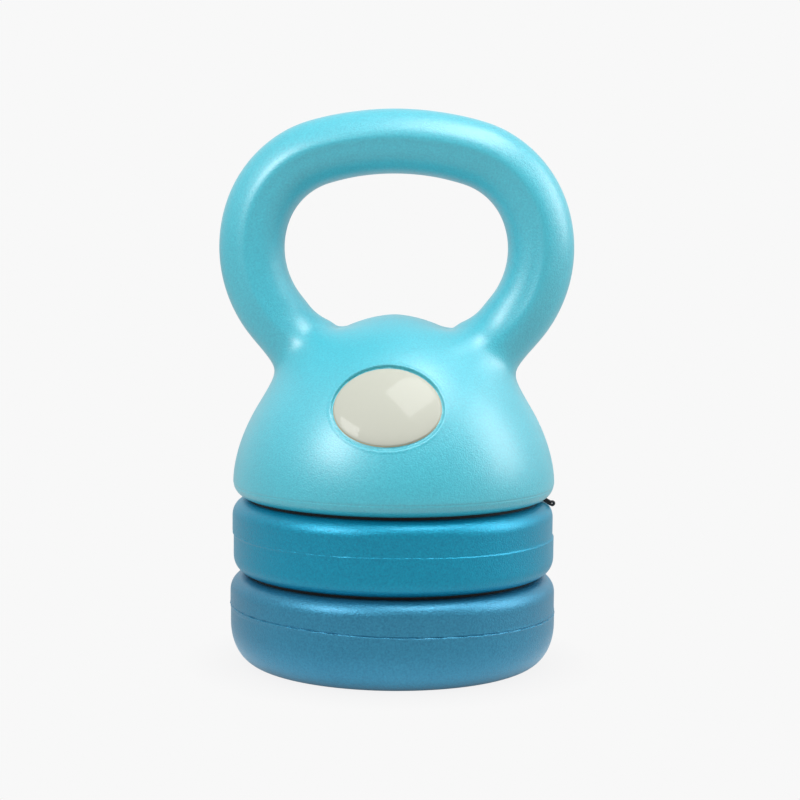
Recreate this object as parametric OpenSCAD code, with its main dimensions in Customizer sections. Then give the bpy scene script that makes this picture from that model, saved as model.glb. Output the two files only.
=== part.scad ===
// Stacking kettlebell: a bell with a loop handle and two screw-on weight plates.
// Units are millimetres. +Z is up, the front with the badge faces -Y, and the
// origin is at the centre of the face that the bottom plate stands on.

/* [Stack] */
// Height of the bottom plate
bottom_h = 45.8; // [42:0.1:50]
// Height of the middle plate
middle_h = 37.4; // [36:0.1:42]
// Thickness of the rubber gasket in each joint
gasket_t = 1.4; // [1:0.1:2]
// Outer radius of the bottom plate
bottom_r = 83.3; // [82:0.1:86]
// Outer radius of the middle plate
middle_r = 82.5; // [82:0.1:86]
// Wall of the blow-moulded shells
wall = 3.2; // [2.8:0.1:3.6]

/* [Bell] */
// Largest radius of the bell, just above its rim
bell_r = 82.4; // [82:0.1:86]
// Rounding of the bell's lower rim
rim_round = 8; // [6:0.5:10]
// Height of the dome above the rim's rounding
dome_h = 85; // [80:1:90]
// Fullness of the dome: 2 is an ellipse, less is more pointed
dome_power = 1.8; // [1.6:0.05:2]
// Height up to which the bell is filled
fill_level = 168; // [120:1:170]

/* [Handle] */
// Radius of the grip
grip_r = 16.2; // [15:0.1:17]
// Half of the handle's width between the centres of its two arms
arm_x = 73.8; // [72:0.1:76]
// Height of the handle's widest point
arm_z = 213; // [208:1:216]
// Height of the middle of the grip
grip_z = 267.3; // [262:0.1:270]
// Bend radius of the handle's shoulders
shoulder_r = 49.5; // [48:0.5:51]
// Bend radius of the arms as they turn in towards the dome
arm_bend_r = 55; // [50:0.5:60]

/* [Badge] */
// Width of the oval badge
badge_w = 51.5; // [44:0.5:56]
// Height of the oval badge
badge_h = 41.5; // [34:0.5:46]
// Height of the badge's centre
badge_z = 138.5; // [130:0.5:142]
// Upward tilt of the badge
badge_tilt = 33; // [25:1:40]
// Depth of the badge's recess
badge_recess = 1.6; // [1:0.1:1.8]

/* [Screw joint] */
// Rise of the thread in one turn
lead = 30; // [24:1:36]
// Number of thread starts
starts = 3; // [2:1:4]
// Mean radius of the boss's thread
thread_r = 29.2; // [28:0.1:30]
// Depth of the thread
thread_depth = 3.4; // [2.5:0.1:3.6]
// Free space between the threads
thread_gap = 0.8; // [0.6:0.05:1]
// Height of a boss above its plate
boss_h = 17; // [15:1:18]

/* [Latch] */
// How far a pull loop draws its plunger out
latch_travel = 4; // [3:0.5:5]
// Width of the plunger
plunger_w = 8; // [6:0.5:9]
// Height of the plunger
plunger_h = 6; // [4:0.5:6.5]

/* [Hidden] */
$fn = 96;

bottom_color = "#38759b";
middle_color = "#2591b6";
bell_color = "#5fcbdf";
badge_color = "#d6d8ca";
carrier_color = "#c3a67c";
black = "#17191b";
steel = "#b4b8bc";
fill_color = "#b9b2a4";

// Heights of the faces in the stack
middle_z = bottom_h + gasket_t;
bell_z = middle_z + middle_h + gasket_t;
rim_z = bell_z + rim_round;

// Clearances: around the inserts, between filling and shell, and past each cut face
fit = 0.3;
fill_gap = 0.3;
cut = 1;

// Rounded edges of the plates
bottom_foot_r = 22;
bottom_foot_h = 21;
bottom_edge = 9;
middle_edge = 8.5;

// Threaded inserts
flange_r = 44;
boss_flange_t = 5;
socket_flange_t = 4;
socket_roof_t = 2.4;
cup_r = 35;
thread_points = 36;
slice_h = 1;
boss_hollow_r = 22;
boss_skin = 4;
boss_dish_r = 18;
boss_dish_h = 1.5;
socket_depth = boss_h + slice_h - gasket_t;
cup_h = socket_depth + socket_roof_t;

// Screws of the inserts
screw_ring_r = 39.5;
screw_angles = [45, 135, 225, 315];
screw_r = 2;
screw_head_r = 3.9;
screw_head_h = 2.2;
screw_into_post = 8;
post_r = 5;
post_h = 10;
pilot_gap = 0.05;

// Rubber gaskets
gasket_in_r = 50;
gasket_out_r = 74.6;

// Filler plugs
filler_x = -60;
plug_r = 8.5;
plug_cap_r = 11;
plug_cap_t = 2;
plug_h = 9;
neck_wall = 3;

// Latch, measured outwards along its own X axis and up from the base it sits in
middle_base_turn = 90;
guide_x = [45, 74.4];
guide_w = 18;
guide_h = 10;
way_floor = 1.2;
way_gap = 0.4;
plunger_x = [33.4, 68.5];
plunger_z = way_floor + way_gap;
way_z = [way_floor, plunger_z + plunger_h + way_gap];
way_end_x = 73;
window_x = [49, 63];
window_w = 5;
peg_x = [59.4, 62.6];
peg_w = 4.2;
spring_r = 1.9;
spring_wire_r = 0.35;
spring_turns = 6;
guide_screw_x = [52, 69];
guide_screw_y = 6.7;
guide_screw_r = 1.3;
guide_screw_head_r = 2.1;
guide_screw_head_h = 1.2;
guide_screw_h = 12;

// Pull loop: a doubled cord that leaves the rim and ends in a small eye
cord_r = 0.9;
cord_z = 2.4;
cord_start_x = 64.5;
cord_bend_x = 77.2;
eye_x = 82;
eye_z = -0.6;
eye_r = 1;
eye_cord_r = 0.65;
groove_w = 4;
groove_h = 3.6;

// Handle: a grip arc, two shoulder arcs and two arm arcs, tangent to each other
shoulder_x = arm_x - shoulder_r;
grip_rise = grip_z - arm_z;
grip_bend_r = (shoulder_x * shoulder_x + grip_rise * grip_rise - shoulder_r * shoulder_r)
    / (2 * (grip_rise - shoulder_r));
grip_half_angle = atan2(shoulder_x, grip_bend_r - grip_rise);
arm_sweep = 95;
knuckle = 0.25;

// Points of an elliptical arc around [x, z]
function arc(x, z, rx, rz, from, to, steps = 8) =
    [for (i = [0:steps]) let (a = from + (to - from) * i / steps) [x + rx * cos(a), z + rz * sin(a)]];

// Half outline of a weight plate whose base is at z = 0, moved inwards by inset
function plate_outline(r, h, foot_r, foot_h, edge, inset) = concat(
    [[0, inset]],
    arc(r - foot_r, foot_h, foot_r - inset, foot_h - inset, -90, 0),
    arc(r - edge, h - edge, edge - inset, edge - inset, 0, 90),
    [[0, h - inset]]);

// Half outline of the dome, moved outwards by grow
function dome_outline(grow) = concat(
    [[0, bell_z - grow]],
    arc(bell_r - rim_round, rim_z, rim_round + grow, rim_round + grow, -90, 0),
    [for (a = [6:6:84]) [(bell_r + grow) * pow(cos(a), 2 / dome_power),
        rim_z + (dome_h + grow) * pow(sin(a), 2 / dome_power)]],
    [[0, rim_z + dome_h + grow]]);

// Radius of a trapezoidal multi-start thread at an angle
function thread_at(a, grow) =
    thread_r + grow + thread_depth / 2 * max(-1, min(1, 1.6 * cos(starts * a)));

function thread_section(grow) = [for (i = [0:thread_points - 1])
    let (a = i * 360 / thread_points) thread_at(a, grow) * [cos(a), sin(a)]];

// Right-hand thread that starts at z = 0
module thread(h, grow) {
    linear_extrude(height = h, twist = -360 * h / lead, slices = round(h / slice_h))
        polygon(thread_section(grow));
}

module at_screws() {
    for (a = screw_angles)
        rotate(a)
            translate([screw_ring_r, 0, 0])
                children();
}

module box_between(x, w, z) {
    translate([x[0], -w / 2, z[0]])
        cube([x[1] - x[0], w, z[1] - z[0]]);
}

// Countersunk screw with its head's top at z = 0, pointing up
module screw(r, head_r, head_h, h) {
    cylinder(r1 = head_r, r2 = r, h = head_h);
    cylinder(r = r, h = h);
}

// ---- Inserts, each with the face that the joint closes on at z = 0 ----

// Flange and threaded boss, pointing up
module boss_insert() {
    difference() {
        union() {
            translate([0, 0, -boss_flange_t])
                cylinder(r = flange_r, h = boss_flange_t);
            thread(boss_h, 0);
        }
        translate([0, 0, -boss_flange_t - cut])
            cylinder(r = boss_hollow_r, h = boss_flange_t + cut + boss_h - boss_skin);
        translate([0, 0, boss_h - boss_dish_h])
            cylinder(r = boss_dish_r, h = boss_dish_h + cut);
        at_screws()
            mirror([0, 0, 1])
                screw(screw_r + pilot_gap, screw_head_r + pilot_gap, screw_head_h,
                    boss_flange_t + cut);
    }
}

module boss_screws() {
    at_screws()
        mirror([0, 0, 1])
            screw(screw_r, screw_head_r, screw_head_h, boss_flange_t + screw_into_post);
}

// Flange and cup with the matching inner thread, opening down. The thread stays in
// step with the boss below it when the base that it sits in is turned by base_turn.
module socket_insert(base_turn) {
    difference() {
        union() {
            cylinder(r = flange_r, h = socket_flange_t);
            cylinder(r = cup_r, h = cup_h);
        }
        translate([0, 0, -gasket_t])
            rotate(-base_turn)
                thread(boss_h + slice_h, thread_gap);
        at_screws()
            screw(screw_r + pilot_gap, screw_head_r + pilot_gap, screw_head_h,
                socket_flange_t + cut);
        latch_way();
    }
}

module socket_screws() {
    at_screws()
        screw(screw_r, screw_head_r, screw_head_h, socket_flange_t + screw_into_post);
}

// ---- Spaces and stands that a shell has around its inserts ----

// Solid around a boss insert, inside the shell, below z = 0
module boss_stand(grow) {
    translate([0, 0, -boss_flange_t - wall - grow])
        cylinder(r = flange_r + fit + wall + grow, h = boss_flange_t + wall + grow);
    at_screws()
        translate([0, 0, -boss_flange_t - post_h - grow])
            cylinder(r = post_r + grow, h = post_h + grow);
}

module boss_space() {
    translate([0, 0, -boss_flange_t])
        cylinder(r = flange_r + fit, h = boss_flange_t + cut);
    at_screws()
        translate([0, 0, -boss_flange_t - screw_into_post - fit])
            cylinder(r = screw_r + pilot_gap, h = screw_into_post + fit + cut);
}

// Solid around a socket, its latch and its filler neck, inside the shell, above z = 0
module socket_stand(grow) {
    cylinder(r = flange_r + fit + wall + grow, h = socket_flange_t + wall + grow);
    cylinder(r = cup_r + fit + wall + grow, h = cup_h + fit + wall + grow);
    at_screws()
        cylinder(r = post_r + grow, h = socket_flange_t + post_h + grow);
    box_between([cup_r, guide_x[1] + wall / 2 + grow],
        guide_w + 2 * (fit + wall + grow), [0, guide_h + fit + wall + grow]);
    translate([filler_x, 0, 0])
        cylinder(r = plug_r + fit + neck_wall + grow, h = plug_h + fit + grow);
}

module socket_space() {
    translate([0, 0, -cut])
        cylinder(r = flange_r + fit, h = socket_flange_t + cut);
    translate([0, 0, -cut])
        cylinder(r = cup_r + fit, h = cup_h + fit + cut);
    at_screws()
        cylinder(r = screw_r + pilot_gap, h = socket_flange_t + screw_into_post + fit);
    latch_way();
    box_between([guide_x[0] - cut, guide_x[1] + fit], guide_w + 2 * fit,
        [-cut, guide_h + fit]);
    box_between([guide_x[1], bell_r + cut], groove_w, [-cut, groove_h]);
    at_guide_screws()
        cylinder(r = guide_screw_r + pilot_gap, h = guide_screw_h + fit);
    translate([filler_x, 0, 0])
        filler_space();
}

// Hole for a filler plug that is pushed up from z = 0
module filler_space() {
    translate([0, 0, -cut])
        cylinder(r = plug_cap_r + fit, h = plug_cap_t + cut);
    translate([0, 0, -cut])
        cylinder(r = plug_r + fit, h = plug_h + wall + cut);
}

module filler_plug() {
    cylinder(r = plug_cap_r, h = plug_cap_t);
    difference() {
        cylinder(r = plug_r, h = plug_h);
        translate([0, 0, plug_cap_t])
            cylinder(r = plug_r - 2, h = plug_h);
    }
}

// ---- Latch: a spring pushes the plunger in, the loop pulls it out along +X ----

module latch_way() {
    box_between([plunger_x[0] - latch_travel, guide_x[0] + cut], plunger_w + 2 * way_gap, way_z);
}

module at_guide_screws() {
    for (x = guide_screw_x, y = [-guide_screw_y, guide_screw_y])
        translate([x, y, 0])
            children();
}

module latch_guide() {
    difference() {
        box_between(guide_x, guide_w, [0, guide_h]);
        difference() {
            box_between([guide_x[0] - cut, way_end_x], plunger_w + 2 * way_gap, way_z);
            box_between(peg_x, peg_w, way_z);
        }
        box_between([way_end_x - cut, guide_x[1] + cut], groove_w, [-cut, groove_h]);
        at_guide_screws()
            screw(guide_screw_r + pilot_gap, guide_screw_head_r + pilot_gap,
                guide_screw_head_h, guide_h + cut);
    }
}

module latch_screws() {
    at_guide_screws()
        screw(guide_screw_r, guide_screw_head_r, guide_screw_head_h, guide_screw_h);
}

module plunger() {
    difference() {
        box_between(plunger_x, plunger_w, [plunger_z, plunger_z + plunger_h]);
        box_between(window_x, window_w, [plunger_z - cut, plunger_z + plunger_h + cut]);
        translate([cord_start_x, 0, cord_z])
            rotate([0, 90, 0])
                cylinder(r = cord_r, h = plunger_x[1] - cord_start_x + cut);
    }
}

// Compression spring drawn as a stack of wire rings
module spring() {
    length = peg_x[0] - window_x[0];
    pitch = (length - 2 * spring_wire_r) / (spring_turns - 1);
    for (i = [0:spring_turns - 1])
        translate([window_x[0] + spring_wire_r + i * pitch, 0, plunger_z + plunger_h / 2])
            rotate([0, 90, 0])
                rotate_extrude($fn = 24)
                    translate([spring_r, 0])
                        circle(r = spring_wire_r, $fn = 16);
    translate([window_x[0], 0, plunger_z + plunger_h / 2 + spring_r])
        rotate([0, 90, 0])
            cylinder(r = spring_wire_r, h = length, $fn = 16);
}

module cord_piece(from, to) {
    run = to - from;
    translate(from)
        rotate([0, atan2(norm([run[0], run[1]]), run[2]), atan2(run[1], run[0])])
            cylinder(r = cord_r, h = norm(run), $fn = 24);
}

module pull_loop() {
    start = [cord_start_x, 0, cord_z];
    bend = [cord_bend_x, 0, cord_z];
    eye = [eye_x - eye_r - eye_cord_r / 2, 0, eye_z];
    cord_piece(start, bend);
    translate(bend)
        sphere(r = cord_r, $fn = 24);
    cord_piece(bend, eye);
    translate([eye_x, 0, eye_z])
        rotate([90, 0, 0])
            rotate_extrude($fn = 48)
                translate([eye_r, 0])
                    circle(r = eye_cord_r, $fn = 24);
}

// The bell's latch faces right and the middle plate's latch faces the back
module at_middle_base() {
    translate([0, 0, middle_z])
        rotate(middle_base_turn)
            children();
}

module at_bell_base() {
    translate([0, 0, bell_z])
        children();
}

module at_plate_top(z) {
    translate([0, 0, z])
        children();
}

// ---- Bottom plate ----

module bottom_body(inset) {
    rotate_extrude()
        polygon(plate_outline(bottom_r, bottom_h, bottom_foot_r, bottom_foot_h,
            bottom_edge, inset));
}

module bottom_neck(grow) {
    cylinder(r = plug_r + fit + neck_wall + grow, h = plug_h + fit + grow);
}

module bottom_shell() {
    color(bottom_color)
        difference() {
            bottom_body(0);
            difference() {
                bottom_body(wall);
                at_plate_top(bottom_h)
                    boss_stand(0);
                bottom_neck(0);
            }
            at_plate_top(bottom_h)
                boss_space();
            filler_space();
        }
}

module bottom_filling() {
    color(fill_color)
        difference() {
            bottom_body(wall + fill_gap);
            at_plate_top(bottom_h)
                boss_stand(fill_gap);
            bottom_neck(fill_gap);
            filler_space();
        }
}

module bottom_filler_plug() {
    color(black)
        filler_plug();
}

module bottom_boss() {
    color(black)
        at_plate_top(bottom_h)
            boss_insert();
}

module bottom_boss_screws() {
    color(steel)
        at_plate_top(bottom_h)
            boss_screws();
}

// ---- Gaskets ----

module gasket(z) {
    translate([0, 0, z])
        difference() {
            cylinder(r = gasket_out_r, h = gasket_t);
            translate([0, 0, -cut])
                cylinder(r = gasket_in_r, h = gasket_t + 2 * cut);
        }
}

module lower_gasket() {
    color(black)
        gasket(bottom_h);
}

module upper_gasket() {
    color(black)
        gasket(middle_z + middle_h);
}

// ---- Middle plate ----

module middle_body(inset) {
    translate([0, 0, middle_z])
        rotate_extrude()
            polygon(plate_outline(middle_r, middle_h, middle_edge, middle_edge,
                middle_edge, inset));
}

module middle_shell() {
    color(middle_color)
        difference() {
            middle_body(0);
            difference() {
                middle_body(wall);
                at_plate_top(middle_z + middle_h)
                    boss_stand(0);
                at_middle_base()
                    socket_stand(0);
            }
            at_plate_top(middle_z + middle_h)
                boss_space();
            at_middle_base()
                socket_space();
        }
}

module middle_filling() {
    color(fill_color)
        difference() {
            middle_body(wall + fill_gap);
            at_plate_top(middle_z + middle_h)
                boss_stand(fill_gap);
            at_middle_base()
                socket_stand(fill_gap);
        }
}

module middle_filler_plug() {
    color(black)
        at_middle_base()
            translate([filler_x, 0, 0])
                filler_plug();
}

module middle_boss() {
    color(black)
        at_plate_top(middle_z + middle_h)
            boss_insert();
}

module middle_boss_screws() {
    color(steel)
        at_plate_top(middle_z + middle_h)
            boss_screws();
}

module middle_socket() {
    color(black)
        at_middle_base()
            socket_insert(middle_base_turn);
}

module middle_socket_screws() {
    color(steel)
        at_middle_base()
            socket_screws();
}

module middle_latch_guide() {
    color(black)
        at_middle_base()
            latch_guide();
}

module middle_latch_screws() {
    color(steel)
        at_middle_base()
            latch_screws();
}

module middle_plunger() {
    color(badge_color)
        at_middle_base()
            plunger();
}

module middle_spring() {
    color(steel)
        at_middle_base()
            spring();
}

module middle_pull_loop() {
    color(black)
        at_middle_base()
            pull_loop();
}

// ---- Bell ----

module dome(grow) {
    rotate_extrude()
        polygon(dome_outline(grow));
}

// Part of a round tube of radius r, bent about the Y axis through [x, z]
module bent_tube(x, z, bend_r, r, from, sweep) {
    translate([x, 0, z])
        rotate([90, 0, 0])
            rotate_extrude(angle = sweep, start = from)
                translate([bend_r, 0])
                    circle(r = r, $fn = 48);
}

// The grip's ends are joined to the shoulders by slightly raised knuckles
module handle(r) {
    bent_tube(0, grip_z - grip_bend_r, grip_bend_r, r, 90 - grip_half_angle,
        2 * grip_half_angle);
    for (side = [0, 1])
        mirror([side, 0, 0]) {
            translate([shoulder_x + shoulder_r * sin(grip_half_angle), 0,
                    arm_z + shoulder_r * cos(grip_half_angle)])
                sphere(r = r + knuckle);
            bent_tube(shoulder_x, arm_z, shoulder_r, r, 0, 90 - grip_half_angle);
            bent_tube(arm_x - arm_bend_r, arm_z, arm_bend_r, r, -arm_sweep, arm_sweep);
        }
}

// Oval prism across the badge's place, square to the bell's surface
module badge_prism(grow) {
    depth = 24;
    centre_r = 64;
    translate([0, -centre_r, badge_z])
        rotate([90 - badge_tilt, 0, 0])
            translate([0, 0, -depth / 2])
                linear_extrude(height = depth)
                    polygon([for (a = [0:7.5:352.5])
                        [(badge_w / 2 + grow) * cos(a), (badge_h / 2 + grow) * sin(a)]]);
}

// Layer of the badge between two heights above the bell's surface
module badge_layer(low, high, margin) {
    intersection() {
        badge_prism(margin);
        difference() {
            dome(high);
            dome(low);
        }
    }
}

module bell_shell() {
    color(bell_color)
        difference() {
            union() {
                dome(0);
                handle(grip_r);
            }
            difference() {
                union() {
                    dome(-wall);
                    handle(grip_r - wall);
                }
                at_bell_base()
                    socket_stand(0);
            }
            difference() {
                badge_prism(badge_recess);
                dome(-badge_recess);
            }
            at_bell_base()
                socket_space();
        }
}

module bell_filling() {
    color(fill_color)
        difference() {
            dome(-wall - fill_gap);
            at_bell_base()
                socket_stand(fill_gap);
            translate([0, 0, fill_level + dome_h / 2])
                cube([2 * bell_r, 2 * bell_r, dome_h], center = true);
        }
}

module bell_filler_plug() {
    color(black)
        at_bell_base()
            translate([filler_x, 0, 0])
                filler_plug();
}

module bell_socket() {
    color(black)
        at_bell_base()
            socket_insert(0);
}

module bell_socket_screws() {
    color(steel)
        at_bell_base()
            socket_screws();
}

module bell_latch_guide() {
    color(black)
        at_bell_base()
            latch_guide();
}

module bell_latch_screws() {
    color(steel)
        at_bell_base()
            latch_screws();
}

module bell_plunger() {
    color(badge_color)
        at_bell_base()
            plunger();
}

module bell_spring() {
    color(steel)
        at_bell_base()
            spring();
}

module bell_pull_loop() {
    color(black)
        at_bell_base()
            pull_loop();
}

module badge_plate() {
    color(carrier_color)
        badge_layer(-badge_recess, -0.4, 0);
}

module badge_dome() {
    color(badge_color)
        badge_layer(-0.4, 0.8, -0.6);
}

bottom_shell();
bottom_filling();
bottom_filler_plug();
bottom_boss();
bottom_boss_screws();
lower_gasket();
middle_shell();
middle_filling();
middle_filler_plug();
middle_boss();
middle_boss_screws();
middle_socket();
middle_socket_screws();
middle_latch_guide();
middle_latch_screws();
middle_plunger();
middle_spring();
middle_pull_loop();
upper_gasket();
bell_shell();
bell_filling();
bell_filler_plug();
bell_socket();
bell_socket_screws();
bell_latch_guide();
bell_latch_screws();
bell_plunger();
bell_spring();
bell_pull_loop();
badge_plate();
badge_dome();
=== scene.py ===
import math

import bpy
import numpy as np
from mathutils import Matrix, Vector


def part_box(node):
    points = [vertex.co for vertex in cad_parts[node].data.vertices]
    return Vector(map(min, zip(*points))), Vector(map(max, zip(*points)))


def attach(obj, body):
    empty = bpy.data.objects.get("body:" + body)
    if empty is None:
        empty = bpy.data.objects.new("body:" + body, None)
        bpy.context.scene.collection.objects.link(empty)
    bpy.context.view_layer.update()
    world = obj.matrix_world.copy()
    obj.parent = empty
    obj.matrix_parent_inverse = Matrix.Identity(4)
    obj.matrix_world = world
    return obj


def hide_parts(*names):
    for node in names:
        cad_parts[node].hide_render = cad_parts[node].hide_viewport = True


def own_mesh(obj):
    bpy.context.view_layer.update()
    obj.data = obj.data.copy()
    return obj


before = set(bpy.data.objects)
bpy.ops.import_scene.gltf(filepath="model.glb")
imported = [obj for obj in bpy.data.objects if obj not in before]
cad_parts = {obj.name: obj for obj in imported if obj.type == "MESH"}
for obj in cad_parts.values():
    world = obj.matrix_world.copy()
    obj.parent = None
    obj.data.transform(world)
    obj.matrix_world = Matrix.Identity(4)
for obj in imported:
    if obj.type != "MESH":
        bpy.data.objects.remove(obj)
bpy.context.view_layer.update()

# Looks of the stacking kettlebell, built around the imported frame. Shapes are worked out in
# millimetres and turned into metres where a mesh is made.
MM = 0.001


def node_box(name):
    """Lowest and highest corner of a CAD node, in millimetres."""
    low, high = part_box(name)
    return np.array(low) / MM, np.array(high) / MM


# ---- Sizes taken from the frame ----
bell_low, bell_high = node_box("bell_shell")
middle_low, middle_high = node_box("middle_shell")
bottom_high = node_box("bottom_shell")[1]
socket_low, socket_high = node_box("middle_socket")
guide_low, guide_high = node_box("bell_latch_guide")
plug_low, plug_high = node_box("bell_filler_plug")

BELL_Z = bell_low[2]
MIDDLE_Z = middle_low[2]
BELL_R = bell_high[1]
MIDDLE_R = middle_high[1]
BOTTOM_R = bottom_high[1]
TOP_Z = bell_high[2]
HANDLE_X = bell_high[0]

# ---- Sizes of the visible skin ----
# Dome: a superellipse over a rounded rim
RIM_ROUND = 8.0
DOME_H = 85.2
DOME_POWER = 1.74

# Handle: radius of its section at the grip and on the arms
GRIP_R = 16.2
ARM_R = 16.65
# The section changes from one radius to the other over this stretch from the middle
TAPER_X = 20.0
TAPER_SPAN = 35.0
# Arcs of the handle's middle line, from the arms up to the corners of the grip
ARM_BEND_R = 55.4
ARM_END = math.radians(66)
SIDE_R = 54.9
SIDE_END = math.radians(20.8)
CORNER_R = 48.0
CORNER_END = math.radians(73.3)

# Fillet between the arms and the dome: in the valley under the grip, outside the arms,
# and in front of and behind them
INNER_BLEND = 6.5
OUTER_BLEND = 27.5
FRONT_BLEND = 38.0
# The valley's fillet grows to the outer one over this stretch from the middle
VALLEY_X = 42.0
VALLEY_SPAN = 25.0
# How far in front of the handle's plane the front fillet takes over
FRONT_BLEND_Y = 16.0

# Soft crest round the handle's section: its height, the angle it sits at and its two widths
SECTION_CREST = 1.2
CREST_MEAN = 0.4
CREST_ANGLE = math.radians(8)
CREST_OUTER = math.radians(22)
CREST_INNER = math.radians(11)
# It fades out on the arms over this span, and is gone this far below their widest point
CREST_GONE = 50.0
CREST_FADE = 24.0
# The arms' inner side is thinner by this near the dome, from this far below their widest point
ROOT_THIN = 1.8
ROOT_BELOW = 25.0
ROOT_FADE = 12.0

# Parting line in the handle's plane, and the witness line round the rim
PARTING_RISE = 0.16
PARTING_WIDTH = 0.4
WITNESS_Z = BELL_Z + 6.5
WITNESS_DEPTH = 0.2
WITNESS_WIDTH = 0.35

# Plates: fullness of their lower edges, 2 being an ellipse, and roundness of their upper edges
FOOT_POWER = 2.15
PLATE_EDGE = 8.2
# Lower rounding as (width, height)
MIDDLE_FOOT = (8.0, 9.0)
BOTTOM_FOOT = (15.7, 22)
# The skins' radii against the CAD's
MIDDLE_SKIN_R = MIDDLE_R - 0.1
BOTTOM_SKIN_R = BOTTOM_R + 0.25
# The middle skin keeps this clear of the gasket under it
GASKET_CLEAR = 0.05
# Sideways step between the mould halves, above and below the seam
MIDDLE_STEP = 0.32
BOTTOM_STEP = 0.12
STEP_HEIGHT = 0.5
# Moulding seams as (height, rise, seed of the wobble, tilt)
MIDDLE_SEAM = (MIDDLE_Z + 19.7, 0.11, 31, 0.6)
BOTTOM_SEAM = (28.9, 0.34, 57, 2.0)
SEAM_RIDGE_W = 0.38
SEAM_GROOVE_W = 0.3
SEAM_GROOVE_UP = 0.5
SEAM_WANDER = 0.25

# Badge and its recess, in the plane square to the dome
BADGE_W = 52.6
BADGE_H = 43.6
BADGE_Z = 138.5
BADGE_TILT = math.radians(33)
BADGE_CENTRE = np.array([0.0, -64.0, BADGE_Z])
BADGE_UP = np.array([0.0, math.sin(BADGE_TILT), math.cos(BADGE_TILT)])
BADGE_OUT = np.array([0.0, -math.cos(BADGE_TILT), math.sin(BADGE_TILT)])
# Room round the badge, at its sides and at its top and bottom
BADGE_GAP = (1.7, 2.4)
# The recess: width of its wall, depth, and its shares of that depth half-way up and at the least
BADGE_EDGE = 1.3
BADGE_DEPTH = 1.6
BADGE_MID_SHARE = 0.6
BADGE_LEAST_SHARE = 0.45
# Raised lip round the recess: its height, distance from the wall and width
BADGE_LIP = 0.18
BADGE_LIP_OUT = 0.5
BADGE_LIP_WIDTH = 0.6
# The recess reaches only this far into the dome, so that it doesn't come out at the back
BADGE_REACH = 15
# The cream face is this much smaller than its carrier all round
FACE_INSET = 0.35

# Recesses in the undersides
FIT = 0.3
FLANGE_R = socket_high[0] + FIT
CUP_R = 35.0 + FIT
SOCKET_FLANGE_T = 4.0
BOSS_FLANGE_T = 5.0
CUP_H = socket_high[2] - socket_low[2] + FIT
PLUG_CAP_R = 11.0 + FIT
PLUG_CAP_T = 2.0
PLUG_X = (plug_low[0] + plug_high[0]) / 2
GROOVE_W = 4.0
GROOVE_H = 3.6
# How far a cut runs past the surface it opens, and the rounding of its edge
PAST = 5
CUT_ROUND = 0.5


# ---- Distance fields, in millimetres ----
def smooth_min(a, b, width):
    """Minimum of two fields, rounded over the given width."""
    h = np.maximum(width - np.abs(a - b), 0) / width
    return np.minimum(a, b) - h ** 3 * width / 6


def smooth_max(a, b, width):
    """Maximum of two fields, rounded over the given width."""
    return -smooth_min(-a, -b, width)


def hump(offset, width):
    """Rounded hump: 1 at its middle, and next to nothing at twice the width from it."""
    return np.exp(-(offset / width) ** 2)


def ease(share):
    """Smooth step from 0 to 1."""
    return share * share * (3 - 2 * share)


def rounded_slab(r, z, low, high, radius, foot, edge):
    """Disc between two heights; foot is its lower rounding (width, height), edge its upper one."""
    foot_w, foot_h = foot
    side = r - radius
    qr = r - (radius - foot_w)
    qz = (low + foot_h) - z
    scale = foot_w / foot_h
    sum_of_powers = np.maximum(qr, 0) ** FOOT_POWER + np.maximum(qz * scale, 0) ** FOOT_POWER
    lower = np.where(qz > 0, sum_of_powers ** (1 / FOOT_POWER) - foot_w, side)
    er = r - (radius - edge)
    ez = z - (high - edge)
    upper = np.hypot(np.maximum(er, 0), np.maximum(ez, 0)) - edge
    walls = np.where(ez > 0, upper, lower)
    return np.maximum(walls, np.maximum(low - z, z - high))


def dome_field(r, z):
    """Near distance to the superellipse dome over its rounded rim; the limits keep off its pole."""
    rim_z = BELL_Z + RIM_ROUND
    w = np.maximum(z - rim_z, 1e-6)
    radial = (np.maximum(r, 1e-6) / BELL_R) ** DOME_POWER
    rise = (w / DOME_H) ** DOME_POWER
    total = radial + rise
    level = total ** (1 / DOME_POWER)
    slope = total ** (1 / DOME_POWER - 1)
    slope_r = slope * radial / np.maximum(r, 1e-6)
    slope_z = slope * rise / w
    dome = (level - 1) / np.maximum(np.hypot(slope_r, slope_z), 1e-3)
    qr = r - (BELL_R - RIM_ROUND)
    qz = rim_z - z
    rim = np.hypot(np.maximum(qr, 0), np.maximum(qz, 0)) - RIM_ROUND
    rim = rim + np.minimum(np.maximum(qr, qz), 0)
    return np.where(z > rim_z, dome, rim)


def half_arch():
    """Half of the handle's middle line: its widest point and the centres of the arcs above it."""
    arm_x = HANDLE_X - GRIP_R
    side_x = arm_x - SIDE_R
    corner_x = side_x + (SIDE_R - CORNER_R) * math.cos(SIDE_END)
    corner_rise = (SIDE_R - CORNER_R) * math.sin(SIDE_END)
    grip_bend = CORNER_R + corner_x / math.cos(CORNER_END)
    grip_rise = corner_rise + (CORNER_R - grip_bend) * math.sin(CORNER_END)
    arm_z = TOP_Z - GRIP_R - grip_rise - grip_bend
    return arm_x, arm_z, side_x, corner_x, corner_rise, grip_bend, grip_rise


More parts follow.
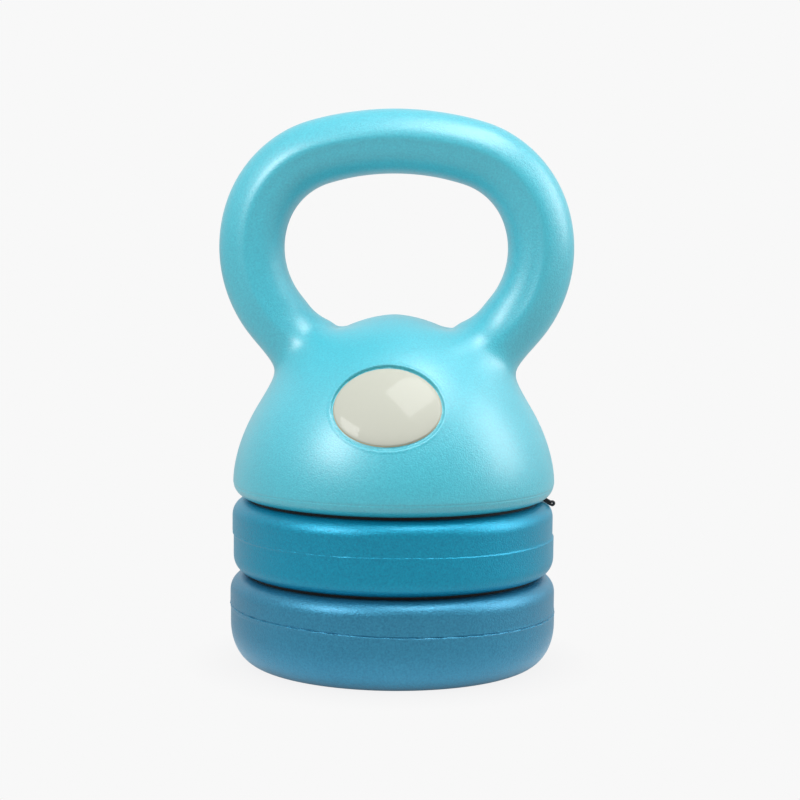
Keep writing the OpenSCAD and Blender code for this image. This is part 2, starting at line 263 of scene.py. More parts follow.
def handle_field(x, y, z):
    """Tube along an arch of arcs that meet smoothly; the arms end inside the dome."""
    arm_x, arm_z, side_x, corner_x, corner_rise, grip_bend, grip_rise = half_arch()
    ax = np.abs(x)
    dz = z - arm_z
    bend_x = arm_x - ARM_BEND_R
    arm = np.hypot(ax - bend_x, dz) - ARM_BEND_R
    end_x = bend_x + ARM_BEND_R * math.cos(ARM_END)
    end_z = -ARM_BEND_R * math.sin(ARM_END)
    past_end = (np.arctan2(dz, ax - bend_x) < -ARM_END) | (ax < bend_x)
    arm = np.where(past_end, np.sign(arm) * np.hypot(ax - end_x, dz - end_z), arm)
    side = np.hypot(ax - side_x, dz) - SIDE_R
    corner = np.hypot(ax - corner_x, dz - corner_rise) - CORNER_R
    grip = np.hypot(ax, dz - grip_rise) - grip_bend
    on_side = np.arctan2(dz, ax - side_x) < SIDE_END
    on_corner = np.arctan2(dz - corner_rise, ax - corner_x) < CORNER_END
    offset = np.where(dz < 0, arm, np.where(on_side, side, np.where(on_corner, corner, grip)))
    # How far down the arm a point is: 0 over the grip, 1 on the arms
    down = np.clip((ax - TAPER_X) / TAPER_SPAN, 0, 1)
    inward = np.clip(-offset / GRIP_R, 0, 1)
    low_down = np.clip((-dz - ROOT_BELOW) / ROOT_FADE, 0, 1)
    radius = GRIP_R + (ARM_R - GRIP_R) * down - ROOT_THIN * inward ** 2 * ease(low_down)
    angle = np.arctan2(offset, np.abs(y))
    width = np.where(angle > CREST_ANGLE, CREST_OUTER, CREST_INNER)
    crest = hump(angle - CREST_ANGLE, width) - CREST_MEAN
    crest = crest * np.cos(angle) ** 2 * np.clip((dz + CREST_GONE) / CREST_FADE, 0, 1)
    return np.hypot(offset, y) - radius - SECTION_CREST * crest


def badge_place(x, y, z):
    """Coordinates across and up the badge's plane, and out of it."""
    up = (y - BADGE_CENTRE[1]) * BADGE_UP[1] + (z - BADGE_CENTRE[2]) * BADGE_UP[2]
    out = (y - BADGE_CENTRE[1]) * BADGE_OUT[1] + (z - BADGE_CENTRE[2]) * BADGE_OUT[2]
    return x, up, out


def oval_field(a, b, half_w, half_h):
    """Near distance to an oval of the given half sizes."""
    k = np.hypot(a / half_w, b / half_h)
    slope = np.hypot(a / half_w ** 2, b / half_h ** 2)
    return (k - 1) * k / np.maximum(slope, 1e-4)


def cylinder_field(x, y, z, centre_x, radius, low, high):
    """Upright cylinder between two heights, its axis on the X axis."""
    return np.maximum(np.hypot(x - centre_x, y) - radius, np.maximum(low - z, z - high))


def box_field(x, y, z, low, high):
    """Box between two corners."""
    centre = (np.array(low) + np.array(high)) / 2
    half = (np.array(high) - np.array(low)) / 2
    dx = np.abs(x - centre[0]) - half[0]
    dy = np.abs(y - centre[1]) - half[1]
    dz = np.abs(z - centre[2]) - half[2]
    return np.maximum(dx, np.maximum(dy, dz))


def base_recess_field(x, y, z, base, turned):
    """Space for the socket, latch guide, pull cord and filler plug in an underside.

    turned is True where the latch lies along Y and not along X.
    """
    below = base - PAST
    if turned:
        x, y = y, -x
    space = cylinder_field(x, y, z, 0, FLANGE_R, below, base + SOCKET_FLANGE_T)
    space = np.minimum(space, cylinder_field(x, y, z, 0, CUP_R, below, base + CUP_H))
    space = np.minimum(space, cylinder_field(x, y, z, PLUG_X, PLUG_CAP_R, below, base + PLUG_CAP_T))
    guide_x = [guide_low[0] - FIT, guide_high[0] + FIT]
    guide_y = guide_high[1] + FIT
    guide_top = base + guide_high[2] - guide_low[2] + FIT
    guide = box_field(x, y, z, [guide_x[0], -guide_y, below], [guide_x[1], guide_y, guide_top])
    groove_end = [BELL_R + PAST, GROOVE_W / 2, base + GROOVE_H]
    groove = box_field(x, y, z, [guide_x[0], -GROOVE_W / 2, below], groove_end)
    return np.minimum(space, np.minimum(guide, groove))


def bell_field(x, y, z):
    """Dome and handle in one, with the badge's recess and the hollows of the underside."""
    # The arms run into the dome with a wide fillet, but a tight one in the valley under the grip
    share = np.clip((np.abs(x) - VALLEY_X) / VALLEY_SPAN, 0, 1)
    edge = OUTER_BLEND + (INNER_BLEND - OUTER_BLEND) * (1 - ease(share))
    blend = FRONT_BLEND + (edge - FRONT_BLEND) * hump(y, FRONT_BLEND_Y)
    skin = smooth_min(dome_field(np.hypot(x, y), z), handle_field(x, y, z), blend)
    skin = skin - PARTING_RISE * hump(y, PARTING_WIDTH)
    skin = skin + WITNESS_DEPTH * hump(z - WITNESS_Z, WITNESS_WIDTH)
    # The badge's recess is pressed in, with a steep rounded edge, and is deepest at its top
    a, b, out = badge_place(x, y, z)
    front = out > -BADGE_REACH
    wall = oval_field(a, b, BADGE_W / 2 + BADGE_GAP[0], BADGE_H / 2 + BADGE_GAP[1])
    press = np.clip(-wall / BADGE_EDGE, 0, 1) * front
    depth = BADGE_DEPTH * np.clip(BADGE_MID_SHARE + b / BADGE_H, BADGE_LEAST_SHARE, 1)
    lip = BADGE_LIP * hump(wall - BADGE_LIP_OUT, BADGE_LIP_WIDTH) * front
    skin = skin + depth * ease(press) - lip
    base = np.maximum(skin, BELL_Z - z)
    return smooth_max(base, -base_recess_field(x, y, z, BELL_Z, False), CUT_ROUND)


# ---- Meshing ----
# Grids reach this far past a shape above and at its sides, and this far below it
MARGIN = 3
MARGIN_BELOW = 2
# Steps that draw the points onto the true surface, and the furthest one of them goes
DRAW_STEPS = 3
DRAW_MAX = 0.4
# Half the distance over which the normals are measured
NORMAL_STEP = 0.12


def spaced(low, high, step, fine=()):
    """Grid lines from low to high; fine holds (from, to, step) stretches with closer lines."""
    lines = [low]
    while lines[-1] < high:
        here = lines[-1]
        steps = [s for a, b, s in fine if a - s <= here < b]
        gap = min([step] + steps)
        ahead = [a for a, b, s in fine if here < a < here + gap]
        lines.append(min(ahead) if ahead and min(ahead) - here > 0.1 else here + gap)
    return np.array(lines)


def surface_net(values, axes):
    """Quads around the zero level of values on a grid with the given axes."""
    inside = values < 0
    cells = np.array(values.shape) - 1
    points, owners, quads = [], [], []
    for axis in range(3):
        u, v = (axis + 1) % 3, (axis + 2) % 3
        low = [slice(None)] * 3
        high = [slice(None)] * 3
        low[axis], high[axis] = slice(0, -1), slice(1, None)
        a, b = values[tuple(low)], values[tuple(high)]
        cross = inside[tuple(low)] != inside[tuple(high)]
        at = np.argwhere(cross)
        at = at[(at[:, u] > 0) & (at[:, v] > 0) & (at[:, u] < cells[u]) & (at[:, v] < cells[v])]
        av = a[tuple(at.T)]
        bv = b[tuple(at.T)]
        share = av / (av - bv)
        place = np.stack([axes[k][at[:, k]] for k in range(3)], 1)
        line = axes[axis]
        place[:, axis] += share * (line[at[:, axis] + 1] - line[at[:, axis]])
        corners = []
        for du, dv in ((1, 1), (0, 1), (0, 0), (1, 0)):
            cell = at.copy()
            cell[:, u] -= du
            cell[:, v] -= dv
            corners.append(np.ravel_multi_index(tuple(cell.T), tuple(cells)))
        corners = np.stack(corners, 1)
        flip = av > 0
        corners[flip] = corners[flip][:, ::-1]
        quads.append(corners)
        for k in range(4):
            points.append(place)
            owners.append(corners[:, k])
    points = np.concatenate(points)
    owners = np.concatenate(owners)
    used, index = np.unique(owners, return_inverse=True)
    count = np.bincount(index)
    verts = np.stack([np.bincount(index, points[:, k]) / count for k in range(3)], 1)
    faces = np.searchsorted(used, np.concatenate(quads))
    return verts, faces


def gradient(field, points, step=0.05):
    """Slope of a field at each point, measured over the given step to both sides."""
    slopes = []
    for axis in range(3):
        ahead, behind = points.copy(), points.copy()
        ahead[:, axis] += step
        behind[:, axis] -= step
        slopes.append((field(*ahead.T) - field(*behind.T)) / (2 * step))
    return np.stack(slopes, 1)


def mesh_object(name, verts, faces, normals=None):
    """Smooth mesh object from an array of points in millimetres and a list of faces."""
    mesh = bpy.data.meshes.new(name)
    mesh.from_pydata((verts * MM).tolist(), [], faces)
    mesh.update()
    for polygon in mesh.polygons:
        polygon.use_smooth = True
    if normals is not None:
        mesh.normals_split_custom_set_from_vertices(normals.tolist())
    obj = bpy.data.objects.new(name, mesh)
    bpy.context.scene.collection.objects.link(obj)
    return obj


def field_object(name, field, axes):
    """Closed mesh of the field's zero level, with its points drawn onto the true surface."""
    grid = np.meshgrid(*axes, indexing="ij", sparse=True)
    values = np.broadcast_to(field(*grid), tuple(len(a) for a in axes))
    verts, faces = surface_net(values, axes)
    for _ in range(DRAW_STEPS):
        slope = gradient(field, verts)
        size = np.maximum((slope ** 2).sum(1), 0.05)
        move = -(field(*verts.T) / size)[:, None] * slope
        length = np.linalg.norm(move, axis=1, keepdims=True)
        verts = verts + move * np.minimum(1, DRAW_MAX / np.maximum(length, 1e-9))
    slope = gradient(field, verts, NORMAL_STEP)
    normals = slope / np.maximum(np.linalg.norm(slope, axis=1, keepdims=True), 1e-9)
    return mesh_object(name, verts, faces.tolist(), normals)


# ---- Bell ----
# Stretches with closer grid lines: the badge, the parting line and the rim
BADGE_SPAN_X = (-31, 31)
BADGE_SPAN_Y = (-BELL_R - 1, -44)
BADGE_SPAN_Z = (112, 166)
PARTING_SPAN = (-1.05, 1.05)
RIM_FINE = (BELL_Z - 0.2, BELL_Z + 11, 0.35)


def bell_axes(step, badge_step, badge_step_y, parting_step):
    """Grid lines for the bell; the steps are the plain one and those of the closer stretches."""
    fine_x = [(*BADGE_SPAN_X, badge_step)]
    fine_y = [(*BADGE_SPAN_Y, badge_step_y), (*PARTING_SPAN, parting_step)]
    fine_z = [RIM_FINE, (*BADGE_SPAN_Z, badge_step)]
    return [
        spaced(-HANDLE_X - MARGIN, HANDLE_X + MARGIN, step, fine_x),
        spaced(-BELL_R - MARGIN, BELL_R + MARGIN, step, fine_y),
        spaced(BELL_Z - MARGIN_BELOW, TOP_Z + MARGIN, step, fine_z),
    ]


bell_grid = bell_axes(1.4, 0.7, 0.8, 0.3)
bell = field_object("bell_skin", bell_field, bell_grid)
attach(bell, "bell")
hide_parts("bell_shell")


# ---- Weight plates ----
def waves(angle, seed, lowest, highest, count):
    """Smooth wobble round the axis, about -1 to 1, the same on every run."""
    rng = np.random.default_rng(seed)
    total = np.zeros_like(angle)
    for _ in range(count):
        total = total + np.sin(rng.integers(lowest, highest) * angle + rng.uniform(0, 2 * math.pi))
    return total / math.sqrt(count) / 1.3


def seam_field(skin, angle, z, seam):
    """Adds a trimmed moulding seam: a low ragged ridge with a fine groove over it."""
    seam_z, rise, seed, tilt = seam
    wobble = waves(angle, seed, 2, 7, 3)
    ragged = waves(angle, seed + 1, 20, 120, 9)
    ridge = 0.8 * rise * (0.45 + np.clip(ragged + 0.6 * wobble, 0, 1.5))
    groove = rise * (1.5 + 0.5 * waves(angle, seed + 2, 12, 60, 6))
    place = seam_z - tilt * np.cos(angle) + SEAM_WANDER * wobble + 0.1 * ragged
    skin = skin - ridge * hump(z - place, SEAM_RIDGE_W)
    return skin + groove * hump(z - place - SEAM_GROOVE_UP, SEAM_GROOVE_W)


def plate_field(x, y, z, low, high, radius, foot, step, seam):
    """Plate with its seam, and a recess in its top for the boss; step is between the mould halves."""
    side = np.tanh((seam[0] - z) / STEP_HEIGHT) * step
    skin = rounded_slab(np.hypot(x - side, y), z, low, high, radius, foot, PLATE_EDGE)
    skin = seam_field(skin, np.arctan2(y, x), z, seam)
    boss = cylinder_field(x, y, z, 0, FLANGE_R, high - BOSS_FLANGE_T, high + PAST)
    return smooth_max(skin, -boss, CUT_ROUND)


def middle_field(x, y, z):
    """Middle plate, with the hollows of its underside."""
    skin = plate_field(x, y, z, MIDDLE_Z + GASKET_CLEAR, middle_high[2], MIDDLE_SKIN_R, MIDDLE_FOOT,
                       MIDDLE_STEP, MIDDLE_SEAM)
    return smooth_max(skin, -base_recess_field(x, y, z, MIDDLE_Z, True), CUT_ROUND)


def bottom_field(x, y, z):
    """Bottom plate, with the filler plug's seat in its underside."""
    skin = plate_field(x, y, z, 0.0, bottom_high[2], BOTTOM_SKIN_R, BOTTOM_FOOT, BOTTOM_STEP, BOTTOM_SEAM)
    seat = cylinder_field(x, y, z, 0, PLUG_CAP_R, -PAST, PLUG_CAP_T)
    return smooth_max(skin, -seat, CUT_ROUND)


def plate_axes(radius, low, high, seam):
    """Grid lines for a plate, closer over its seam."""
    seam_z, tilt = seam[0], seam[3]
    step = 1.3
    side = spaced(-radius - MARGIN, radius + MARGIN, step)
    fine = [(seam_z - tilt - 1.4, seam_z + tilt + 1.6, 0.22)]
    return [side, side, spaced(low - MARGIN_BELOW, high + MARGIN, step, fine)]


middle_grid = plate_axes(MIDDLE_R, MIDDLE_Z, middle_high[2], MIDDLE_SEAM)
middle = field_object("middle_skin", middle_field, middle_grid)
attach(middle, "middle_plate")
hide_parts("middle_shell")

bottom_grid = plate_axes(BOTTOM_R, 0.0, bottom_high[2], BOTTOM_SEAM)
bottom = field_object("bottom_skin", bottom_field, bottom_grid)
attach(bottom, "bottom_plate")
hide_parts("bottom_shell")


# ---- Badge ----
def badge_layer(name, inset, heights):
    """Oval disc that follows the dome, smaller than the badge by inset all round.

    heights holds (share of the half size, height above the dome) for each ring.
    """
    half_w = BADGE_W / 2 - inset
    half_h = BADGE_H / 2 - inset
    turns = 160
    rings = []
    for share, height in heights:
        angle = np.arange(turns) * 2 * math.pi / turns
        a = half_w * share * np.cos(angle)
        b = half_h * share * np.sin(angle)
        flat = BADGE_CENTRE + a[:, None] * np.array([1.0, 0, 0]) + b[:, None] * BADGE_UP
        out = np.zeros(turns)
        # Each round brings the ring closer to its height above the dome
        for _ in range(8):
            point = flat + out[:, None] * BADGE_OUT
            level = dome_field(np.hypot(point[:, 0], point[:, 1]), point[:, 2])
            out += (height - level) * 0.95
        rings.append(flat + out[:, None] * BADGE_OUT)
    faces = []
    for ring in range(len(rings) - 1):
        for k in range(turns):
            n = (k + 1) % turns
            here, there = ring * turns, (ring + 1) * turns
            faces.append([here + k, here + n, there + n, there + k])
    bottom_cap = list(range(turns))[::-1]
    top_cap = [(len(rings) - 1) * turns + k for k in range(turns)]
    return mesh_object(name, np.concatenate(rings), faces + [bottom_cap, top_cap])


def domed(low, rim, crown, steps):
    """Heights of a disc with an upright edge and a full crown, from the bottom to the top's middle."""
    heights = [(0.02, low), (0.5, low), (0.97, low), (1.0, low + 0.15), (1.0, rim)]
    for k in range(1, steps + 1):
        share = math.cos(k / steps * math.pi / 2)
        heights.append((max(share, 0.02), rim + (crown - rim) * (1 - share ** 7) ** 0.5))
    return heights


carrier = badge_layer("badge_carrier", 0, domed(-BADGE_DEPTH, -0.35, -0.02, 6))
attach(carrier, "bell")
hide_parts("badge_plate")

face = badge_layer("badge_face", FACE_INSET, domed(-0.5, -0.05, 0.85, 28))
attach(face, "bell")
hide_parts("badge_dome")


# ---- Pull loops ----
CORD_R = 0.72


def tube(name, path, radius, sides=14, side=(0.0, 1.0, 0.0)):
    """Round tube with closed ends along an array of points; it never runs along side."""
    ahead = np.gradient(path, axis=0)
    ahead /= np.linalg.norm(ahead, axis=1, keepdims=True)
    across = np.cross(ahead, side)
    across /= np.maximum(np.linalg.norm(across, axis=1, keepdims=True), 1e-6)
    other = np.cross(ahead, across)
    verts = []
    for centre, u, v in zip(path, across, other):
        for k in range(sides):
            angle = 2 * math.pi * k / sides
            verts.append(centre + radius * (math.cos(angle) * u + math.sin(angle) * v))
    last = len(path) - 1
    faces = []
    for ring in range(last):
        here, there = ring * sides, (ring + 1) * sides
        for k in range(sides):
            n = (k + 1) % sides
            faces.append([here + k, there + k, there + n, here + n])
    faces.append(list(range(sides)))
    faces.append([last * sides + k for k in range(sides)][::-1])
    return mesh_object(name, np.array(verts), faces)


def pull_loop_path(base):
    """A doubled cord that leaves the groove and opens into a small loop, in the XZ plane.

    The points are listed: out along the upper strand, round the tip and back.
    """
    tip_x, loop_z, half, reach = 81.7, base - 2.7, 0.86, 0.9
    upper = [(65, 0, base + 2.5), (70, 0, base + 2.3), (74, 0, base + 1.4), (77, 0, base + 0.1)]
    upper += [(79.3, 0, base - 1.1), (80.6, 0, loop_z + half)]
    around = [(tip_x + reach * math.cos(a), 0, loop_z + half * math.sin(a))
              for a in np.linspace(math.pi / 2, -math.pi / 2, 9)]
    lower = [(80.3, 0, base - 3.0), (78.4, 0, base - 1.75), (76.5, 0, base - 0.7), (74, 0, base + 0.35)]
    lower += [(70, 0, base + 1.3), (65, 0, base + 1.5)]
    return upper + around + lower


def rounded_path(points, per_span=5):
    """Catmull-Rom curve through the points."""
    pts = np.array([points[0]] + list(points) + [points[-1]], float)
    out = []
    for k in range(1, len(pts) - 2):
        p0, p1, p2, p3 = pts[k - 1:k + 3]
        for t in np.arange(per_span) / per_span:
            out.append(0.5 * (2 * p1 + (p2 - p0) * t + (2 * p0 - 5 * p1 + 4 * p2 - p3) * t ** 2
                              + (3 * p1 - p0 - 3 * p2 + p3) * t ** 3))
    out.append(pts[-2])
    return np.array(out)


def pull_loop(name, node, base, body, turned):
    """Cord loop under a stage's base, turned to lie along Y where turned is True."""
    path = rounded_path(pull_loop_path(base))
    if turned:
        path = np.stack([-path[:, 1], path[:, 0], path[:, 2]], 1)
    loop = tube(name, path, CORD_R)
    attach(loop, body)
    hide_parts(node)
    return loop


bell_loop = pull_loop("bell_pull_cord", "bell_pull_loop", BELL_Z, "bell_latch", False)
middle_loop = pull_loop("middle_pull_cord", "middle_pull_loop", MIDDLE_Z, "middle_latch", True)


# ---- Latch springs ----
SPRING_WIRE = 0.35
SPRING_TURNS = 6
STEPS_A_TURN = 28
WIRE_SIDES = 10


def latch_spring(name, node, body, along):
    """Coil on its plunger's collar; along is 0 for X, 1 for Y."""
    low, high = node_box(node)
    across = 1 - along
    radius = (high[across] - low[across]) / 2 - SPRING_WIRE
    centre_z = low[2] + SPRING_WIRE + radius
    angle = np.linspace(0, 2 * math.pi * SPRING_TURNS, SPRING_TURNS * STEPS_A_TURN + 1)
    path = np.zeros((len(angle), 3))
    path[:, along] = np.linspace(low[along] + SPRING_WIRE, high[along] - SPRING_WIRE, len(angle))
    path[:, across] = radius * np.cos(angle)
    path[:, 2] = centre_z + radius * np.sin(angle)
    axis = [0.0, 0.0, 0.0]
    axis[along] = 1.0
    coil = tube(name, path, SPRING_WIRE, WIRE_SIDES, axis)
    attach(coil, body)
    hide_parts(node)
    anchor = np.array([0.0, 0.0, centre_z])
    anchor[along] = low[along]
    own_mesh(coil)
    return coil


bell_coil = latch_spring("bell_coil", "bell_spring", "bell_latch", 0)
middle_coil = latch_spring("middle_coil", "middle_spring", "middle_latch", 1)


# ---- Materials ----
# Most of a noise's values lie between these two
NOISE_LOW = 0.3
NOISE_HIGH = 0.7


def srgb(r, g, b):
    """Linear colour from display values of 0 to 255."""
    def linear(c):
        c = c / 255
        return c / 12.92 if c <= 0.04045 else ((c + 0.055) / 1.055) ** 2.4
    return (linear(r), linear(g), linear(b), 1.0)


def new_material(name):
    """A new material, with its nodes, links and shader."""
    material = bpy.data.materials.new(name)
    material.use_nodes = True
    nodes = material.node_tree.nodes
    shader = nodes["Principled BSDF"]
    return material, nodes, material.node_tree.links, shader


def noise(nodes, links, scale, detail=2.0, roughness=0.5):
    """Noise that sticks to the object, its scale in cycles per metre."""
    coordinates = nodes.new("ShaderNodeTexCoord")
    texture = nodes.new("ShaderNodeTexNoise")
    texture.inputs["Scale"].default_value = scale
    texture.inputs["Detail"].default_value = detail
    texture.inputs["Roughness"].default_value = roughness
    links.new(coordinates.outputs["Object"], texture.inputs["Vector"])
    return texture.outputs["Fac"]


def remap(nodes, links, value, low, high, to_low, to_high):
    """The value's range from low to high, stretched to another range."""
    node = nodes.new("ShaderNodeMapRange")
    node.inputs["From Min"].default_value = low
    node.inputs["From Max"].default_value = high
    node.inputs["To Min"].default_value = to_low
    node.inputs["To Max"].default_value = to_high
    links.new(value, node.inputs["Value"])
    return node.outputs["Result"]


def two_colours(nodes, links, value, dark, light):
    """Colour that runs from dark to light with a noise."""
    ramp = nodes.new("ShaderNodeValToRGB")
    ramp.color_ramp.elements[0].color = dark
    ramp.color_ramp.elements[1].color = light
    ramp.color_ramp.elements[0].position = NOISE_LOW
    ramp.color_ramp.elements[1].position = NOISE_HIGH
    links.new(value, ramp.inputs["Fac"])
    return ramp.outputs["Color"]


def bump(nodes, links, shader, value, strength, distance):
    """Fine relief on the shader's surface, its depth in metres."""
    node = nodes.new("ShaderNodeBump")
    node.inputs["Strength"].default_value = strength
    node.inputs["Distance"].default_value = distance
    links.new(value, node.inputs["Height"])
    links.new(node.outputs["Normal"], shader.inputs["Normal"])


def pearl_plastic(name, dark, light, roughness, metallic, sheen, coat):
    """Blow-moulded polyethylene with a fine pearly pigment, under a clear satin coat."""
    material, nodes, links, shader = new_material(name)
    cloud = two_colours(nodes, links, noise(nodes, links, 14, 3), dark, light)
    fleck = noise(nodes, links, 1000, 2, 0.6)
    fleck_tone = two_colours(nodes, links, fleck, (0.25, 0.25, 0.25, 1), (0.75, 0.75, 0.75, 1))
    fleck_gloss = remap(nodes, links, fleck, NOISE_LOW, NOISE_HIGH, roughness - 0.06, roughness + 0.06)
    grain = nodes.new("ShaderNodeMix")
    grain.data_type = "RGBA"
    grain.blend_type = "SOFT_LIGHT"
    grain.inputs["Factor"].default_value = 0.45
    links.new(cloud, grain.inputs["A"])
    links.new(fleck_tone, grain.inputs["B"])
    links.new(grain.outputs["Result"], shader.inputs["Base Color"])
    links.new(fleck_gloss, shader.inputs["Roughness"])
    bump(nodes, links, shader, noise(nodes, links, 1300, 2, 0.55), 0.7, 0.00035)
    shader.inputs["Metallic"].default_value = metallic
    shader.inputs["Specular IOR Level"].default_value = sheen
    shader.inputs["Coat Weight"].default_value = coat
    shader.inputs["Coat IOR"].default_value = 1.75
    shader.inputs["Coat Roughness"].default_value = 0.36
    return material


def plain(name, colour, roughness, metallic=0.0, grain=600, depth=0.0001, strength=0.1, coat=0.0,
          shade=0.88):
    """Moulded, cast or metal finish with a faint grain; shade is how dark its darker parts are."""
    material, nodes, links, shader = new_material(name)
    dark = tuple(c * shade for c in colour[:3]) + (1.0,)
    tone = two_colours(nodes, links, noise(nodes, links, 40, 3), dark, colour)
    gloss = remap(nodes, links, noise(nodes, links, grain, 2), NOISE_LOW, NOISE_HIGH,
                  roughness * 0.85, roughness * 1.15)
    links.new(tone, shader.inputs["Base Color"])
    links.new(gloss, shader.inputs["Roughness"])
    bump(nodes, links, shader, noise(nodes, links, grain, 3), strength, depth)
    shader.inputs["Metallic"].default_value = metallic
    shader.inputs["Coat Weight"].default_value = coat
    shader.inputs["Coat Roughness"].default_value = 0.05
    return material


def give(obj, material):
    """Makes the material the object's only one."""
    obj.data.materials.clear()
    obj.data.materials.append(material)


give(bell, pearl_plastic("bell_plastic", srgb(52, 182, 201), srgb(58, 190, 210), 0.39, 0.0, 0.75, 0.75))
give(middle, pearl_plastic("middle_plastic", srgb(4, 146, 180), srgb(7, 154, 189), 0.37, 0.6, 0.35, 0.2))
give(bottom, pearl_plastic("bottom_plastic", srgb(47, 133, 168), srgb(53, 140, 175), 0.37, 0.6, 0.35, 0.2))
give(carrier, plain("badge_carrier", srgb(205, 183, 148), 0.4))
give(face, plain("badge_face", srgb(189, 190, 177), 0.6, coat=0.3, strength=0.0, shade=0.985))
cord_black = plain("cord_black", srgb(16, 16, 18), 0.25, grain=2500, coat=0.4)
give(bell_loop, cord_black)
give(middle_loop, cord_black)

insert_black = plain("insert_plastic", srgb(26, 27, 30), 0.42, grain=900)
screw_steel = plain("screw_steel", srgb(190, 192, 196), 0.28, metallic=1.0, grain=1500)
# The gaskets in the gaps between the stages are near black, which draws dark lines at those gaps.
gasket_rubber = plain("gasket_rubber", srgb(8, 8, 10), 0.65, grain=1200)
filling_mix = plain("filling", srgb(180, 172, 156), 0.8, grain=400, depth=0.0005, strength=0.4)
plunger_plastic = plain("plunger_plastic", srgb(205, 204, 192), 0.35)
give(bell_coil, screw_steel)
give(middle_coil, screw_steel)
finish_of = {"screws": screw_steel, "spring": screw_steel, "gasket": gasket_rubber,
             "filling": filling_mix, "plunger": plunger_plastic}
for name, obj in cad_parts.items():
    give(obj, finish_of.get(name.split("_")[-1], insert_black))


# ---- Floor, light and camera ----
BACKDROP = srgb(248, 248, 248)
# Floor: its half size, its grey for the object's light, and the tone of its painted shadow under the object
FLOOR_HALF = 30.0
FLOOR_GREY = (0.2, 0.2, 0.2, 1)
PAINTED_SHADOW_TONE = srgb(240, 240, 241)
PAINTED_SHADOW_REACH = 0.03
# Light given by the floor at its contact with the object, near it and far from it; the low light at the
# contact is painted shade
CONTACT_GLOW = 0.1
NEAR_GLOW = 0.85
FAR_GLOW = 0.36
GLOW_REACH = 0.1
NEAR_STOP = 0.55
# Light from all round, dimmer in front and brighter at the back and above
AMBIENT = (0.98, 1.0, 1.0, 1)
FRONT_GLOW = 0.25
BACK_GLOW = 0.78
BRIGHT_SIDE = (0, 0.75, 0.66)
BRIGHT_SPAN = 0.8
# The softboxes point at the middle of the object
LIGHT_AIM = (0, 0, 0.14)

scene = bpy.context.scene
floor_mesh = bpy.data.meshes.new("floor")
floor_corners = [(-FLOOR_HALF, -FLOOR_HALF, 0), (FLOOR_HALF, -FLOOR_HALF, 0),
                 (FLOOR_HALF, FLOOR_HALF, 0), (-FLOOR_HALF, FLOOR_HALF, 0)]
floor_mesh.from_pydata(floor_corners, [], [(0, 1, 2, 3)])
floor = bpy.data.objects.new("floor", floor_mesh)
scene.collection.objects.link(floor)


def grey(level):
    """Colour with the same level in all channels."""
    return (level, level, level, 1)


def seen_by_camera(nodes, links, seen, unseen, out):
    """Shows one shader to the camera and lets the other light the object."""
    path = nodes.new("ShaderNodeLightPath")
    choose = nodes.new("ShaderNodeMixShader")
    links.new(path.outputs["Is Camera Ray"], choose.inputs["Fac"])
    links.new(unseen, choose.inputs[1])
    links.new(seen, choose.inputs[2])
    links.new(choose.outputs["Shader"], out.inputs["Surface"])


floor_white, floor_nodes, floor_links, floor_shader = new_material("floor")
floor_shader.inputs["Base Color"].default_value = FLOOR_GREY
floor_shader.inputs["Roughness"].default_value = 1.0
floor_shader.inputs["Specular IOR Level"].default_value = 0.0
floor_shader.inputs["Emission Strength"].default_value = 1.0
# The floor glows, unseen by the camera, in place of light bounced off it onto the object; this painted
# bounce light is dimmed next to the object as painted shade.
near_object = floor_nodes.new("ShaderNodeAmbientOcclusion")
near_object.inputs["Distance"].default_value = GLOW_REACH
# Painted shadow: the floor the camera sees is backdrop white, darkened close to the object.
painted_shadow_ao = floor_nodes.new("ShaderNodeAmbientOcclusion")
painted_shadow_ao.inputs["Distance"].default_value = PAINTED_SHADOW_REACH
painted_floor_shadow = floor_nodes.new("ShaderNodeValToRGB")
painted_floor_shadow.color_ramp.elements[0].color = PAINTED_SHADOW_TONE
painted_floor_shadow.color_ramp.elements[1].color = BACKDROP
floor_links.new(painted_shadow_ao.outputs["AO"], painted_floor_shadow.inputs["Fac"])
floor_glow = floor_nodes.new("ShaderNodeValToRGB")
floor_glow.color_ramp.elements[0].color = grey(CONTACT_GLOW)
floor_glow.color_ramp.elements[1].color = grey(FAR_GLOW)
floor_glow.color_ramp.elements.new(NEAR_STOP).color = grey(NEAR_GLOW)
floor_links.new(near_object.outputs["AO"], floor_glow.inputs["Fac"])
floor_links.new(floor_glow.outputs["Color"], floor_shader.inputs["Emission Color"])
floor_seen = floor_nodes.new("ShaderNodeEmission")
floor_links.new(painted_floor_shadow.outputs["Color"], floor_seen.inputs["Color"])
seen_by_camera(floor_nodes, floor_links, floor_seen.outputs["Emission"], floor_shader.outputs["BSDF"],
               floor_nodes["Material Output"])
give(floor, floor_white)


def softbox(name, turn, height, distance, size, power):
    """Area light aimed at the object; turn is in degrees from the front, positive to the right."""
    a, e = math.radians(turn), math.radians(height)
    place = (distance * math.sin(a) * math.cos(e), -distance * math.cos(a) * math.cos(e),
             LIGHT_AIM[2] + distance * math.sin(e))
    light = bpy.data.lights.new(name, "AREA")
    light.shape = "RECTANGLE"
    light.size, light.size_y = size
    light.energy = power
    obj = bpy.data.objects.new(name, light)
    obj.location = place
    obj.rotation_euler = (Vector(LIGHT_AIM) - Vector(place)).to_track_quat("-Z", "Y").to_euler()
    scene.collection.objects.link(obj)


softbox("left_box", -45, 34, 1.4, (0.55, 0.5), 8.5)
softbox("right_box", 93, 26, 1.4, (0.7, 0.9), 7.6)
softbox("high_box", 52, 70, 1.5, (1.0, 0.6), 12)

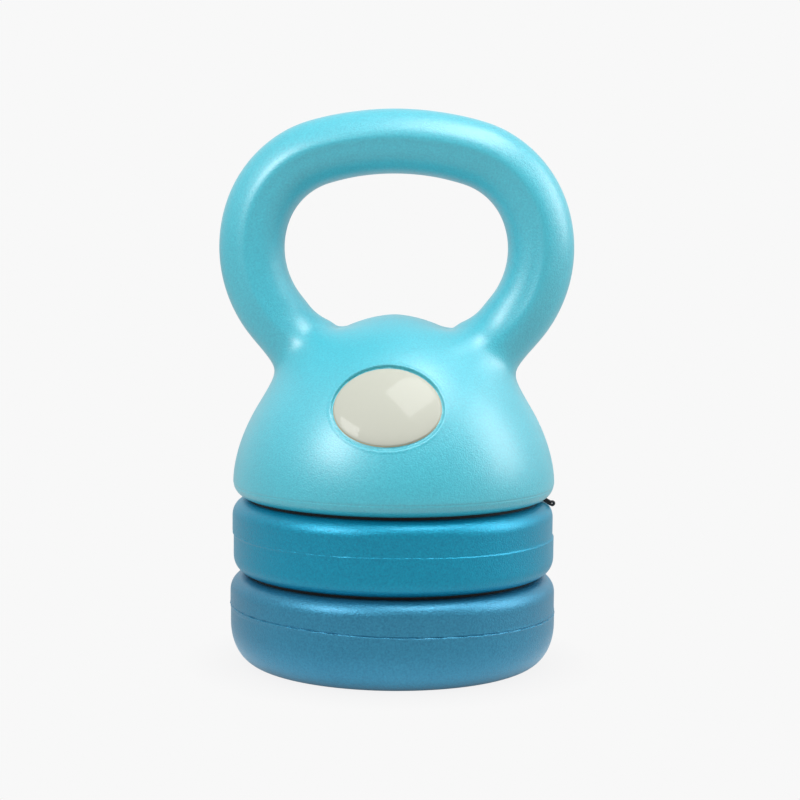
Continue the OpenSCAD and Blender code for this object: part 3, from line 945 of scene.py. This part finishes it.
world = bpy.data.worlds.new("studio")
scene.world = world
world.use_nodes = True
world_nodes, world_links = world.node_tree.nodes, world.node_tree.links
world_place = world_nodes.new("ShaderNodeTexCoord")
world_side = world_nodes.new("ShaderNodeVectorMath")
world_side.operation = "DOT_PRODUCT"
world_side.inputs[1].default_value = BRIGHT_SIDE
world_links.new(world_place.outputs["Generated"], world_side.inputs[0])
world_glow = remap(world_nodes, world_links, world_side.outputs["Value"], -BRIGHT_SPAN, BRIGHT_SPAN,
                   FRONT_GLOW, BACK_GLOW)
world_links.new(world_glow, world_nodes["Background"].inputs["Strength"])
world_nodes["Background"].inputs["Color"].default_value = AMBIENT
world_seen = world_nodes.new("ShaderNodeBackground")
world_seen.inputs["Color"].default_value = BACKDROP
seen_by_camera(world_nodes, world_links, world_seen.outputs["Background"],
               world_nodes["Background"].outputs["Background"], world_nodes["World Output"])

# Camera: turned round the object, then set back from it, aside and up, and tilted; in metres
CAMERA_TURN = math.radians(3.0)
CAMERA_PITCH = math.radians(5.61)
CAMERA_ROLL = math.radians(0.59)
CAMERA_BACK = 1.055
CAMERA_ASIDE = 0.00285
CAMERA_HEIGHT = 0.239
LENS_MM = 92.92
SENSOR_MM = 36

camera_data = bpy.data.cameras.new("camera")
camera_data.lens = LENS_MM
camera_data.sensor_width = SENSOR_MM
camera = bpy.data.objects.new("camera", camera_data)
scene.collection.objects.link(camera)
look = Vector((0, math.cos(CAMERA_PITCH), -math.sin(CAMERA_PITCH)))
right = Vector((1, 0, 0))
up = right.cross(look)
rolled_right = right * math.cos(CAMERA_ROLL) + up * math.sin(CAMERA_ROLL)
rolled_up = up * math.cos(CAMERA_ROLL) - right * math.sin(CAMERA_ROLL)
basis = Matrix((rolled_right, rolled_up, -look)).transposed().to_4x4()
place = Matrix.Translation((CAMERA_ASIDE, -CAMERA_BACK, CAMERA_HEIGHT))
camera.matrix_world = Matrix.Rotation(CAMERA_TURN, 4, "Z") @ place @ basis
scene.camera = camera
scene.view_settings.view_transform = "Standard"
